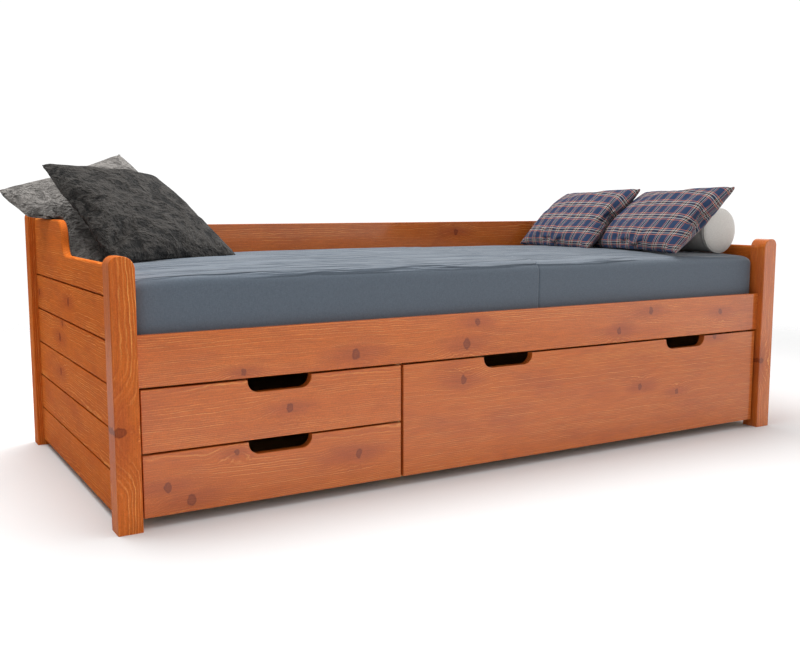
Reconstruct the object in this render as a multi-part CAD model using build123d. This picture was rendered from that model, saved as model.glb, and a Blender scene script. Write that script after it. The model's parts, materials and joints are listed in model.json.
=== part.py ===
from build123d import *
import os
from math import asin, cos, sin, sqrt

# Storage bed in stained pine, dressed with its mattress and cushions.
# Millimetres, +Z up. The origin is on the floor, under the middle of the wooden frame.
# +X runs along the bed, from the end with the two small drawers to the other end.
# The drawers open towards -Y.

# Frame sizes
frame_length = 2080
frame_width = 976
post_side = 55
front_post_height = 600
rear_post_height = 688
post_outer_round = 20
post_inner_round = 28
post_edge_round = 2.5
board_thickness = 20
board_setback = 18
housing_depth = 12
housing_end_gap = 0.5
board_edge_round = 1.5

# Ends and back, made of boards with open slits between them. The drops are from the posts' tops
board_floor_gap = 18
board_slit = 4.2
board_count = 5
top_board_low_height = 69
end_front_drop = 22
end_back_drop = 20
back_drop = 43
shoulder_from_back = 420
shoulder_upper_share = 0.533
end_top_round = 6

# Front rail and the supports of the slats
rail_height = 115
rail_edge_round = 3
bearer_depth = 30
bearer_height = 40
slat_count = 15
slat_width = 70
slat_thickness = 18
slat_end_gap = 4
slat_edge_round = 2
strap_width = 25
strap_thickness = 1
strap_inset = 180

# Knock-down fittings in the front rail and the top back board
cam_radius = 7.5
cam_length = 12
cam_from_end = 34
cam_from_edge = 20
cam_slot_width = 2
cam_slot_length = 10.5
cam_slot_depth = 2
cam_bolt_radius = 3
cam_bolt_reach = 14
cam_clearance = 0.1

# Drawer fronts
front_side_gap = 7
front_bay_gap = 7.5
front_level_gap = 4.5
front_floor_gap = 24
front_edge_round = 1.5
small_front_width = 651.5
small_front_height = 140.5
grip_width = 160
grip_depth = 30
grip_round = 27
large_grip_from_left = 326
large_grip_from_right = 308

# Drawer boxes and runners
box_depth = 742
box_wall = 14
box_post_gap = 9
box_divider_gap = 2
box_lift = 16
box_head_room = 17
box_groove_lift = 10
box_groove_depth = 6
box_groove_end_gap = 0.5
small_bottom_thickness = 5
large_bottom_thickness = 9
muntin_width = 70
muntin_lip = 12
runner_height = 21
runner_overlap = 20
divider_thickness = 18
divider_floor_gap = 18
foot_length = 90
running_gap = 0.3

# Mattress, bolster and cushions
mattress_gap = 2.5
mattress_post_gap = 3
mattress_side_height = 178
mattress_crown = 12
mattress_edge_round = 26
bolster_radius = 70
bolster_length = 770
bolster_swell = 7
bolster_piping = 4
cushion_seam = 5
cushion_tip_rise = 0.5
plaid_width = 450
plaid_height = 285
plaid_thickness = 96
plaid_draw = 8
dark_side = 405
dark_thickness = 90
light_side = 345
light_thickness = 70
grey_draw = 12
soft_gap = 0.3

# Places of the bolster and the cushions. A cushion's place is how far the middle of its lower
# edge is from the end and from the back, the direction that it leans to, its slope from the
# floor and its turn in its own plane
bolster_back_gap = 28
plaid_front_place = (305, 667, -10, 43, 0)
plaid_rear_place = (312, 260, -8.5, 44, 0)
dark_place = (265, 451, 109, 38, 0)
light_place = (226, 294, 109, 38, 20)

# Places worked out from the sizes above
half_length = frame_length / 2
half_width = frame_width / 2
post_inner_x = half_length - post_side
post_inner_y = half_width - post_side
board_outer_x = half_length - board_setback
board_inner_x = board_outer_x - board_thickness
board_outer_y = half_width - board_setback
board_inner_y = board_outer_y - board_thickness
end_low_height = front_post_height - end_front_drop
end_high_height = rear_post_height - end_back_drop
back_top_height = rear_post_height - back_drop
top_board_bottom = end_low_height - top_board_low_height
board_pitch = (top_board_bottom - board_floor_gap) / board_count
board_height = board_pitch - board_slit
upper_front_bottom = front_floor_gap + small_front_height + front_level_gap
front_top = upper_front_bottom + small_front_height
rail_bottom = front_top + front_level_gap
rail_top = rail_bottom + rail_height
bearer_top = rail_bottom + bearer_height
slat_top = bearer_top + slat_thickness
mattress_bottom = slat_top + strap_thickness + soft_gap
mattress_length = 2 * (board_inner_x - mattress_gap)
mattress_width = 2 * (board_inner_y - mattress_gap)
post_reach = board_inner_x - post_inner_x
mattress_corner_round = (post_reach - mattress_gap + mattress_post_gap) / (1 - sqrt(0.5))
small_front_left = -post_inner_x + front_side_gap
small_front_right = small_front_left + small_front_width
large_front_left = small_front_right + front_bay_gap
large_front_right = post_inner_x - front_side_gap
divider_x = (small_front_right + large_front_left) / 2
divider_left = divider_x - divider_thickness / 2
divider_right = divider_x + divider_thickness / 2
front_face_y = -board_outer_y
front_back_y = -board_inner_y
stop_y = front_back_y + running_gap
box_back_y = front_back_y + box_depth


def block(x0, x1, y0, y1, z0, z1):
    """A box between two corners."""
    middle = Pos((x0 + x1) / 2, (y0 + y1) / 2, (z0 + z1) / 2)
    return middle * Box(x1 - x0, y1 - y0, z1 - z0)


def rounded(piece, axis, radius):
    """The piece with its long edges along an axis rounded."""
    return fillet(piece.edges().filter_by(axis), radius)


def cylinder_between(start, end, radius):
    """A round bar from one point to another."""
    direction = Vector(*end) - Vector(*start)
    return extrude(Plane(start, z_dir=direction) * Circle(radius), direction.length)


def mirrored(piece):
    """The same piece at the other end of the bed."""
    return mirror(piece, Plane.YZ)


# Posts
def post(height, y0, y1):
    """A left post, its top rounded more on the inner side than on the outer side."""
    profile = Pos(-half_length + post_side / 2, height / 2) * Rectangle(post_side, height)
    outer, inner = profile.vertices().sort_by(Axis.Y)[-2:].sort_by(Axis.X)
    profile = fillet(outer, post_outer_round)
    inner = profile.vertices().sort_by(Axis.X)[-2:].sort_by(Axis.Y)[-1]
    profile = fillet(inner, post_inner_round)
    body = extrude(Plane.XZ.offset(-y1) * profile, y1 - y0)
    faces = body.faces().filter_by(Axis.Y)
    outline = ShapeList([edge for face in faces for edge in face.edges() if edge.center().Z > 1])
    return fillet(outline, post_edge_round)


def end_housing(y0, y1, top):
    """The stopped groove that holds the end boards."""
    return block(-board_outer_x, -board_inner_x, y0, y1, board_floor_gap, top)


def front_post():
    body = post(front_post_height, -half_width, -post_inner_y)
    groove = end_housing(-post_inner_y - housing_depth, -post_inner_y, end_low_height)
    mortise = block(-post_inner_x - housing_depth, -post_inner_x,
                    front_face_y, front_back_y, rail_bottom, rail_top)
    return body - groove - mortise - rail_bolt_holes()


def rear_post():
    body = post(rear_post_height, post_inner_y, half_width)
    groove = end_housing(post_inner_y, post_inner_y + housing_depth, end_high_height)
    back_groove = block(-post_inner_x - housing_depth, -post_inner_x,
                        board_inner_y, board_outer_y, board_floor_gap, back_top_height)
    return body - groove - back_groove - back_bolt_holes()


# Boards of the ends and of the back
def board_level(index):
    """The lower edge of a board, counted from the floor."""
    return board_floor_gap + index * board_pitch


def end_board(index):
    y_end = post_inner_y + housing_depth - housing_end_gap
    bottom = board_level(index)
    plain = block(-board_outer_x, -board_inner_x, -y_end, y_end, bottom, bottom + board_height)
    return rounded(plain, Axis.Y, board_edge_round)


def end_top_board():
    """The shaped top board: low at the front, with an S-shaped shoulder up to the back."""
    y_end = post_inner_y + housing_depth - housing_end_gap
    shoulder_y = half_width - shoulder_from_back
    rise = end_high_height - end_low_height
    upper_round = rise * shoulder_upper_share
    lower_round = rise - upper_round
    turn_z = end_low_height + lower_round
    low_start = (shoulder_y - lower_round, end_low_height)
    turn = (shoulder_y, turn_z)
    high_start = (shoulder_y + upper_round, end_high_height)
    outline = [
        Line((-y_end, top_board_bottom), (-y_end, end_low_height)),
        Line((-y_end, end_low_height), low_start),
        JernArc(low_start, (1, 0), lower_round, 90),
        JernArc(turn, (0, 1), upper_round, -90),
        Line(high_start, (y_end, end_high_height)),
        Line((y_end, end_high_height), (y_end, top_board_bottom)),
        Line((y_end, top_board_bottom), (-y_end, top_board_bottom)),
    ]
    shape = make_face(Curve() + outline)
    board = extrude(Plane.YZ.offset(-board_outer_x) * shape, board_thickness)
    near = board_thickness / 10
    middle_x = -(board_outer_x + board_inner_x) / 2
    top_edges = [edge for edge in board.edges()
                 if edge.center().Z > end_low_height - near
                 and abs(edge.center().Y) < y_end - near
                 and abs(edge.center().X - middle_x) > board_thickness / 2 - near]
    board = fillet(ShapeList(top_edges), end_top_round)
    lower_edges = [edge for edge in board.edges().filter_by(Axis.Y)
                   if edge.center().Z < top_board_bottom + near]
    return fillet(ShapeList(lower_edges), board_edge_round)


def back_board(bottom, top):
    x_end = post_inner_x + housing_depth - housing_end_gap
    plain = block(-x_end, x_end, board_inner_y, board_outer_y, bottom, top)
    return rounded(plain, Axis.X, board_edge_round)


def back_top_board():
    board = back_board(top_board_bottom, back_top_height)
    for side in (-1, 1):
        for level in back_cam_levels():
            board -= cam_bore(side, board_inner_y, 1, level)
    return board


def front_rail():
    x_end = post_inner_x + housing_depth - housing_end_gap
    rail = block(-x_end, x_end, front_face_y, front_back_y, rail_bottom, rail_top)
    rail = rounded(rail, Axis.X, rail_edge_round)
    for side in (-1, 1):
        for level in rail_cam_levels():
            rail -= cam_bore(side, front_back_y, -1, level)
    return rail


# Knock-down fittings: a cam in the board pulls on a bolt screwed into the post
def rail_cam_levels():
    return (bearer_top + cam_from_edge, rail_top - cam_from_edge)


def back_cam_levels():
    return (top_board_bottom + cam_from_edge, back_top_height - cam_from_edge)


def cam_x(side):
    return side * (post_inner_x + housing_depth - cam_from_end)


def bolt_run(side, y, level, radius, from_x):
    """A bar along X from the post to the cam's middle."""
    to_x = side * (post_inner_x + housing_depth + cam_bolt_reach)
    return cylinder_between((from_x, y, level), (to_x, y, level), radius)


def cam_bore(side, face_y, inward, level):
    """The cam's round pocket in a board's inner face, and the hole of its bolt."""
    depth = cam_length + cam_clearance
    pocket = cylinder_between((cam_x(side), face_y, level),
                              (cam_x(side), face_y + inward * depth, level),
                              cam_radius + cam_clearance)
    middle_y = face_y + inward * board_thickness / 2
    run = bolt_run(side, middle_y, level, cam_bolt_radius + cam_clearance, cam_x(side))
    return pocket + run


def cam(side, face_y, inward, level):
    """A cam with its screwdriver cross and the pocket that grips the bolt."""
    body = cylinder_between((cam_x(side), face_y, level),
                            (cam_x(side), face_y + inward * cam_length, level), cam_radius)
    middle_y = face_y + inward * board_thickness / 2
    body -= bolt_run(side, middle_y, level, cam_bolt_radius + cam_clearance, cam_x(side))
    reach = cam_slot_length / 2
    deep = sorted((face_y, face_y + inward * cam_slot_depth))
    across = block(cam_x(side) - reach, cam_x(side) + reach, *deep,
                   level - cam_slot_width / 2, level + cam_slot_width / 2)
    upright = block(cam_x(side) - cam_slot_width / 2, cam_x(side) + cam_slot_width / 2, *deep,
                    level - reach, level + reach)
    return body - across - upright


def fitting_places():
    """Side, face, inward direction and level of each cam."""
    places = []
    for side in (-1, 1):
        for level in rail_cam_levels():
            places.append((side, front_back_y, -1, level))
        for level in back_cam_levels():
            places.append((side, board_inner_y, 1, level))
    return places


def cams():
    return [cam(*place) for place in fitting_places()]


def cam_bolts():
    bolts = []
    for side, face_y, inward, level in fitting_places():
        middle_y = face_y + inward * board_thickness / 2
        tip = cam_x(side) + side * cam_clearance
        bolts.append(bolt_run(side, middle_y, level, cam_bolt_radius, tip))
    return bolts


def rail_bolt_holes():
    holes = []
    for level in rail_cam_levels():
        y = front_back_y - board_thickness / 2
        holes.append(bolt_run(-1, y, level, cam_bolt_radius + cam_clearance, -post_inner_x))
    return holes


def back_bolt_holes():
    holes = []
    for level in back_cam_levels():
        y = board_inner_y + board_thickness / 2
        holes.append(bolt_run(-1, y, level, cam_bolt_radius + cam_clearance, -post_inner_x))
    return holes


# Slat base
def bearer(y0, y1):
    reach = post_inner_x - housing_end_gap
    return block(-reach, reach, y0, y1, rail_bottom, bearer_top)


def slats():
    first = -board_inner_x + slat_end_gap + slat_width / 2
    pitch = -2 * first / (slat_count - 1)
    pieces = []
    for index in range(slat_count):
        x = first + index * pitch
        slat = block(x - slat_width / 2, x + slat_width / 2,
                     -board_inner_y + slat_end_gap, board_inner_y - slat_end_gap,
                     bearer_top, slat_top)
        slat = fillet(slat.edges().filter_by(Axis.Y).group_by(Axis.Z)[-1], slat_edge_round)
        for side in (-1, 1):
            slat -= post_corner(side, -1) + post_corner(side, 1)
        pieces.append(slat)
    return pieces


def post_corner(side, depth_side):
    """The inside corner of a post, which the outer slats and the bearers go round."""
    x = sorted((side * post_inner_x, side * half_length))
    y = sorted((depth_side * post_inner_y, depth_side * half_width))
    return block(*x, *y, 0, rear_post_height)


def slat_straps():
    length = board_inner_x - slat_end_gap
    y = board_inner_y - strap_inset
    return [block(-length, length, side * y - strap_width / 2, side * y + strap_width / 2,
                  slat_top, slat_top + strap_thickness) for side in (-1, 1)]


# Divider between the drawer bays, its foot, and the runners
def divider():
    panel = block(divider_left, divider_right, stop_y, board_inner_y, divider_floor_gap, bearer_top)
    inner = board_inner_y - bearer_depth
    front_notch = block(divider_left, divider_right, stop_y, -inner, rail_bottom, bearer_top)
    back_notch = block(divider_left, divider_right, inner, board_inner_y, rail_bottom, bearer_top)
    return panel - front_notch - back_notch


def divider_foot():
    foot = block(divider_left, divider_right, -foot_length / 2, foot_length / 2,
                 0, divider_floor_gap)
    return rounded(foot, Axis.Z, post_edge_round)


def end_runner(side, box_x, box_bottom):
    """A runner on the end boards, notched round the posts. Its front end stops the drawer."""
    top = box_bottom - running_gap
    reach = side * (abs(box_x) - runner_overlap)
    x = sorted((side * board_inner_x, reach))
    runner = block(*x, stop_y, board_inner_y, top - runner_height, top)
    return runner - post_corner(side, -1) - post_corner(side, 1)


def divider_runner(side, box_bottom):
    """A runner on one face of the divider."""
    top = box_bottom - running_gap
    face = divider_x + side * divider_thickness / 2
    x = sorted((face, face + side * (box_divider_gap + runner_overlap)))
    return block(*x, stop_y, board_inner_y, top - runner_height, top)


# Drawers
def grip_cut(x, top):
    """A hand grip cut down from a front's top edge, with round lower corners."""
    height = grip_depth * 2
    shape = Pos(x, top) * Rectangle(grip_width, height)
    round_radius = min(grip_round, grip_depth - 2 * front_edge_round)
    shape = fillet(shape.vertices().sort_by(Axis.Y)[:2], round_radius)
    return extrude(Plane.XZ.offset(-front_back_y - 1) * shape, board_thickness + 2)


def drawer_front(x0, x1, z0, z1, grips, groove_z, groove_height, box_x0, box_x1):
    """A front with its grips, rounded outer edges and the groove for the bottom."""
    front = block(x0, x1, front_face_y, front_back_y, z0, z1)
    for x in grips:
        front -= grip_cut(x, z1)
    outer = front.faces().sort_by(Axis.Y)[0]
    front = fillet(outer.edges(), front_edge_round)
    return front - block(box_x0 + box_wall - box_groove_depth, box_x1 - box_wall + box_groove_depth,
                         front_back_y - box_groove_depth, front_back_y,
                         groove_z, groove_z + groove_height)


def drawer_side(x0, x1, inner, box_bottom, box_top, groove_z, groove_height):
    """A side with its bottom groove. inner is +1 where the inside is towards +X."""
    side = block(x0, x1, front_back_y, box_back_y, box_bottom, box_top)
    top_edges = side.edges().filter_by(Axis.Y).group_by(Axis.Z)[-1]
    side = fillet(top_edges, board_edge_round)
    face = x1 if inner > 0 else x0
    x = sorted((face, face - inner * box_groove_depth))
    return side - block(*x, front_back_y, box_back_y, groove_z, groove_z + groove_height)


def drawer(name, x0, x1, z0, z1, grips, box_x0, box_x1, bottom_thickness):
    """The pieces of a drawer, without its bottom."""
    box_bottom = z0 + box_lift
    box_top = z1 - box_head_room
    groove_z = box_bottom + box_groove_lift
    groove = (groove_z, bottom_thickness)
    pieces = {
        name + "_front": drawer_front(x0, x1, z0, z1, grips, *groove, box_x0, box_x1),
        name + "_side_left": drawer_side(box_x0, box_x0 + box_wall, 1,
                                         box_bottom, box_top, *groove),
        name + "_side_right": drawer_side(box_x1 - box_wall, box_x1, -1,
                                          box_bottom, box_top, *groove),
    }
    back = block(box_x0 + box_wall, box_x1 - box_wall, box_back_y - box_wall, box_back_y,
                 groove_z + bottom_thickness, box_top)
    pieces[name + "_back"] = fillet(back.edges().filter_by(Axis.X).group_by(Axis.Z)[-1],
                                    board_edge_round)
    return pieces


def bottom_panel(x0, x1, groove_z, thickness):
    """A plywood bottom. Its front edge is in the front's groove, and the back stands on it."""
    front_y = front_back_y - box_groove_depth + box_groove_end_gap
    return block(x0, x1, front_y, box_back_y, groove_z, groove_z + thickness)


def panel_reach():
    """How far a bottom's side edge goes outside the box's inner face."""
    return box_groove_depth - box_groove_end_gap


def small_drawer(name, z0):
    box_x0 = -post_inner_x + box_post_gap
    box_x1 = divider_left - box_divider_gap
    grip_x = (small_front_left + small_front_right) / 2
    pieces = drawer(name, small_front_left, small_front_right, z0, z0 + small_front_height,
                    [grip_x], box_x0, box_x1, small_bottom_thickness)
    groove_z = z0 + box_lift + box_groove_lift
    pieces[name + "_bottom"] = bottom_panel(box_x0 + box_wall - panel_reach(),
                                            box_x1 - box_wall + panel_reach(),
                                            groove_z, small_bottom_thickness)
    return pieces


def large_drawer():
    """The large drawer. Its bottom is two panels that lie in the muntin's rebates."""
    name = "large_drawer"
    box_x0 = divider_right + box_divider_gap
    box_x1 = post_inner_x - box_post_gap
    grips = [large_front_left + large_grip_from_left, large_front_right - large_grip_from_right]
    pieces = drawer(name, large_front_left, large_front_right, front_floor_gap, front_top,
                    grips, box_x0, box_x1, large_bottom_thickness)
    groove_z = front_floor_gap + box_lift + box_groove_lift
    panel_top = groove_z + large_bottom_thickness
    middle = (box_x0 + box_x1) / 2
    left_step = middle - muntin_width / 2 + muntin_lip
    right_step = middle + muntin_width / 2 - muntin_lip
    muntin = block(left_step - muntin_lip, right_step + muntin_lip, front_back_y, box_back_y,
                   groove_z - box_groove_lift, panel_top)
    muntin -= block(left_step - muntin_lip, left_step, front_back_y, box_back_y,
                    groove_z, panel_top)
    muntin -= block(right_step, right_step + muntin_lip, front_back_y, box_back_y,
                    groove_z, panel_top)
    pieces[name + "_muntin"] = muntin
    pieces[name + "_bottom_left"] = bottom_panel(box_x0 + box_wall - panel_reach(),
                                                 left_step - box_groove_end_gap,
                                                 groove_z, large_bottom_thickness)
    pieces[name + "_bottom_right"] = bottom_panel(right_step + box_groove_end_gap,
                                                  box_x1 - box_wall + panel_reach(),
                                                  groove_z, large_bottom_thickness)
    return pieces


# Soft pieces
def mattress_profile(length):
    """A side view: flat bottom, round edges and a top that rises in one arc to the crown."""
    half = length / 2
    side_top = mattress_side_height - mattress_edge_round
    start = half - mattress_edge_round
    outline = [
        Line((-half, mattress_edge_round), (-half, side_top)),
        JernArc((-half, side_top), (0, 1), mattress_edge_round, -90),
        ThreePointArc((-start, mattress_side_height), (0, mattress_side_height + mattress_crown),
                      (start, mattress_side_height)),
        JernArc((start, mattress_side_height), (1, 0), mattress_edge_round, -90),
        Line((half, side_top), (half, mattress_edge_round)),
        JernArc((half, mattress_edge_round), (0, -1), mattress_edge_round, -90),
        Line((start, 0), (-start, 0)),
        JernArc((-start, 0), (-1, 0), mattress_edge_round, -90),
    ]
    return make_face(Curve() + outline)


def mattress():
    lengthwise = extrude(Plane.XZ.offset(-half_width) * mattress_profile(mattress_length), frame_width)
    crosswise = extrude(Plane.YZ.offset(-half_length) * mattress_profile(mattress_width), frame_length)
    plan = RectangleRounded(mattress_length, mattress_width, mattress_corner_round)
    upright = extrude(plan, 2 * mattress_side_height)
    return Pos(0, 0, mattress_bottom) * (lengthwise & crosswise & upright)


def bolster_cap(end):
    """The profile of an end: its dome, then its round piping. end is +1 or -1."""
    rim = bolster_length / 2
    dome_radius = (bolster_radius ** 2 + bolster_swell ** 2) / (2 * bolster_swell)
    half_angle = asin(bolster_radius / dome_radius) / 2
    dome_middle = rim + bolster_swell - dome_radius * (1 - cos(half_angle))
    dome = ThreePointArc((0, end * (rim + bolster_swell)),
                         (dome_radius * sin(half_angle), end * dome_middle),
                         (bolster_radius, end * rim))
    piping = ThreePointArc((bolster_radius, end * rim),
                           (bolster_radius + bolster_piping / 2, end * (rim - bolster_piping / 2)),
                           (bolster_radius, end * (rim - bolster_piping)))
    return [dome, piping]


def bolster():
    """A round bolster along Y, with piping round its domed ends."""
    side = bolster_length / 2 - bolster_piping
    tip = bolster_length / 2 + bolster_swell
    outline = bolster_cap(1) + bolster_cap(-1)
    outline.append(Line((bolster_radius, side), (bolster_radius, -side)))
    outline.append(Line((0, -tip), (0, tip)))
    return revolve(make_face(Curve() + outline), Axis.Y)


def cushion_section(a, b, half_thickness):
    """A lens between two points of the seam: two arcs joined by the seam's narrow edges."""
    lift = Vector(0, 0, cushion_seam / 2)
    middle = (a + b) * 0.5
    top = Vector(middle.X, middle.Y, half_thickness)
    bottom = Vector(middle.X, middle.Y, -half_thickness)
    edges = [
        ThreePointArc(a + lift, top, b + lift),
        Line(b + lift, b - lift),
        ThreePointArc(b - lift, bottom, a - lift),
        Line(a - lift, a + lift),
    ]
    return Face(Wire(edges))


def cushion(width, height, thickness, draw):
    """A filled cushion, flat in XY: pointed corners, drawn-in sides and a crown.

    Each half is a loft of lens sections, from a corner to the diagonal of the other two. A
    section's share runs from 0 at the corner to 1 at the diagonal.
    """
    halves = []
    crown = (thickness - cushion_seam) / 2
    for side in (-1, 1):
        corner = Vector(side * width / 2, side * height / 2, 0)
        sections = []
        for share in (0.03, 0.12, 0.3, 0.55, 0.8, 1):
            pull = 4 * draw * share * (1 - share)
            along = Vector(-side * width * share, -side * pull, 0)
            across = Vector(-side * pull, -side * height * share, 0)
            rise = crown * sqrt(1 - (1 - share) ** 2) ** 1.5
            half_thickness = cushion_seam / 2 + cushion_tip_rise + rise
            sections.append(cushion_section(corner + along, corner + across, half_thickness))
        halves.append(loft(sections))
    return halves[0] + halves[1]


def leaning(piece, height, end, place):
    """Stands a cushion on the middle of its lower edge and leans it back. end is +1 or -1."""
    from_end, from_back, heading, tilt, turn = place
    piece = Pos(0, height / 2, 0) * Rot(0, 0, turn) * piece
    piece = Rot(0, 0, heading - 90) * Rot(tilt, 0, 0) * piece
    return Pos(end * (board_inner_x - from_end), board_inner_y - from_back, 0) * piece


def settled(piece, supports, start):
    """Lowers a piece from a height until it is the soft gap above what it rests on.

    Each step down is the gap over the slope of the last step, but no slope under a half counts.
    """
    least_slope = 0.5

    def gap_at(level):
        placed = Pos(0, 0, level) * piece
        return min(placed.distance_to(support) for support in supports) - soft_gap

    level = start
    gap = gap_at(level)
    step = gap
    while gap > soft_gap / 10:
        next_gap = gap_at(level - step)
        if next_gap < 0:
            step /= 2
        else:
            slope = (gap - next_gap) / step
            level -= step
            gap = next_gap
            step = gap / max(slope, least_slope)
    return Pos(0, 0, level) * piece


def corner_rests():
    """Plain blocks in the place of the left end's and the back's top boards and their post."""
    shoulder_y = half_width - shoulder_from_back
    low = block(-board_outer_x, -board_inner_x, -post_inner_y, post_inner_y,
                top_board_bottom, end_low_height)
    high = block(-board_outer_x, -board_inner_x, shoulder_y, post_inner_y,
                 top_board_bottom, end_high_height)
    back = block(-post_inner_x, post_inner_x, board_inner_y, board_outer_y,
                 top_board_bottom, back_top_height)
    rear = block(-half_length, -post_inner_x, post_inner_y, half_width, 0, rear_post_height)
    return [low, high, back, rear]


def soft_pieces():
    """The mattress, the bolster and the cushions, each seated on what is below it."""
    bed = mattress()
    high = mattress_bottom + 2 * mattress_side_height
    roll_x = board_inner_x - bolster_radius - bolster_piping / 2 - soft_gap
    roll_y = board_inner_y - bolster_back_gap - bolster_swell - bolster_length / 2
    roll = settled(Pos(roll_x, roll_y, 0) * bolster(), [bed], high)
    plaid = cushion(plaid_width, plaid_height, plaid_thickness, plaid_draw)
    front = settled(leaning(plaid, plaid_height, 1, plaid_front_place), [bed, roll], high)
    rear = settled(leaning(plaid, plaid_height, 1, plaid_rear_place), [bed, roll, front], high)
    light = cushion(light_side, light_side, light_thickness, grey_draw)
    light = settled(leaning(light, light_side, -1, light_place), [bed] + corner_rests(), high)
    dark = cushion(dark_side, dark_side, dark_thickness, grey_draw)
    dark = settled(leaning(dark, dark_side, -1, dark_place), [bed, light], high)
    return {
        "mattress": bed,
        "bolster": roll,
        "cushion_plaid_front": front,
        "cushion_plaid_rear": rear,
        "cushion_grey_light": light,
        "cushion_grey_dark": dark,
    }


def build():
    """Every node of the bed and its solids."""
    nodes = {
        "post_front_left": front_post(),
        "post_rear_left": rear_post(),
        "end_left_top_board": end_top_board(),
        "front_rail": front_rail(),
        "back_top_board": back_top_board(),
        "bearer_front": bearer(-board_inner_y, -board_inner_y + bearer_depth),
        "bearer_rear": bearer(board_inner_y - bearer_depth, board_inner_y),
        "divider": divider(),
        "divider_foot": divider_foot(),
        "slats": slats(),
        "slat_straps": slat_straps(),
        "cams": cams(),
        "cam_bolts": cam_bolts(),
    }
    for index in range(board_count):
        nodes[f"end_left_board_{index + 1}"] = end_board(index)
        bottom = board_level(index)
        nodes[f"back_board_{index + 1}"] = back_board(bottom, bottom + board_height)
    for name in [name for name in nodes if name.endswith("_left") or "_left_" in name]:
        nodes[name.replace("_left", "_right")] = mirrored(nodes[name])
    lower_box = front_floor_gap + box_lift
    upper_box = upper_front_bottom + box_lift
    box_edge = post_inner_x - box_post_gap
    nodes["runner_lower_left"] = end_runner(-1, box_edge, lower_box)
    nodes["runner_upper_left"] = end_runner(-1, box_edge, upper_box)
    nodes["runner_lower_middle"] = divider_runner(-1, lower_box)
    nodes["runner_upper_middle"] = divider_runner(-1, upper_box)
    nodes["runner_large_left"] = divider_runner(1, lower_box)
    nodes["runner_large_right"] = end_runner(1, box_edge, lower_box)
    nodes.update(small_drawer("lower_drawer", front_floor_gap))
    nodes.update(small_drawer("upper_drawer", upper_front_bottom))
    nodes.update(large_drawer())
    nodes.update(soft_pieces())
    return nodes


if __name__ == "__main__":
    os.makedirs("parts", exist_ok=True)
    for node, shape in build().items():
        solids = Compound(shape) if isinstance(shape, list) else shape
        export_step(solids, f"parts/{node}.step")
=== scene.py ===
"""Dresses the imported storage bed: stained pine, mattress, bolster, cushions, light and camera."""

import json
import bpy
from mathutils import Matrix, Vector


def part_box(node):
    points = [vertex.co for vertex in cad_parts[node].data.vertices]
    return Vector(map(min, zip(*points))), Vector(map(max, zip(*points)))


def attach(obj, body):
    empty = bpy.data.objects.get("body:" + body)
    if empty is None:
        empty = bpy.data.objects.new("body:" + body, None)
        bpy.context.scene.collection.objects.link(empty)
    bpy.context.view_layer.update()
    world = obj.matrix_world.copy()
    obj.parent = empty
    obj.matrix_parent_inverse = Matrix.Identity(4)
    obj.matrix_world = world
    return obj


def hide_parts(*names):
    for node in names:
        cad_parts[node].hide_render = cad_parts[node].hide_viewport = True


bl_info = {
    "name": "Storage bed",
    "version": (1, 0, 0),
    "blender": (4, 5, 0),
    "location": "3D View > Sidebar > Storage bed",
    "description": "Dresses the packed storage bed in stained pine, bedding and cushions",
    "category": "Object",
}

import bpy
import numpy as np
from bpy.props import FloatProperty, FloatVectorProperty, PointerProperty
from mathutils import Vector

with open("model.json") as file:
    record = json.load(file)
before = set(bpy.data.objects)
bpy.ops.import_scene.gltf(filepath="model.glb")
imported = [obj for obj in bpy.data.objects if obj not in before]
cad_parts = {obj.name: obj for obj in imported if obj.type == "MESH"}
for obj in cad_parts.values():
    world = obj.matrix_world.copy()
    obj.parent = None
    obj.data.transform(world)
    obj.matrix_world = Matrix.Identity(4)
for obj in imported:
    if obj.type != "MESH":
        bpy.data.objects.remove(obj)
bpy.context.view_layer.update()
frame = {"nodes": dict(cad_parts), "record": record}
MM = 0.001

# The photograph's camera, solved from the frame's edges
CAMERA_PLACE = (-1.531, -2.511, 0.707)
CAMERA_YAW = 30.49
CAMERA_PITCH = -7.12
CAMERA_LENS = 43.34

# Grain direction of a piece: the Object axes that run along the grain, across it and through it
GRAIN_AXES = {"X": ("X", "Z", "Y"), "Y": ("Y", "Z", "X"), "Z": ("Z", "X", "Y")}

# Spacing of the drawn growth rings and of the plaid's bands, in mm
RING_PITCH = 4.2
PLAID_REPEAT = 47

# Finishes of the wood, as values of these inputs of the shader
FINISH_INPUTS = ("Roughness", "Specular IOR Level", "Coat Weight", "Coat Roughness")
BRIGHT_LACQUER = (0.55, 0.1, 1.0, 0.1)
SATIN_LACQUER = (0.65, 0.08, 0.2, 0.2)
DULL_LACQUER = (0.8, 0.04, 0.02, 0.3)
BARE_WOOD = (0.7, 0.3, 0.0, 0.0)

# Knots: place along the grain, place across it, and radius, in mm
KNOTS = {
    "post_front_left": [(226, -1029, 14)],
    "post_front_right": [(215, 992, 10)],
    "front_rail": [(-741, 329, 8), (-453, 348, 13), (-95, 404, 9), (-129, 349, 13),
                   (400, 347, 10), (523, 399, 10), (815, 380, 9)],
    "upper_drawer_front": [(-629, 234, 10)],
    "lower_drawer_front": [(-762, 145, 7), (-924, 87, 11), (-871, 50, 13), (-446, 102, 11)],
    "large_drawer_front": [(-137, 255, 11), (489, 176, 9), (639, 149, 8), (795, 306, 10)],
    "back_top_board": [(451, 607, 10), (-600, 560, 12)],
    "end_left_board_5": [(16, 461, 11), (404, 456, 9)],
    "end_left_board_4": [(137, 357, 12), (100, 398, 7)],
    "end_left_board_3": [(144, 264, 11)],
}

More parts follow.
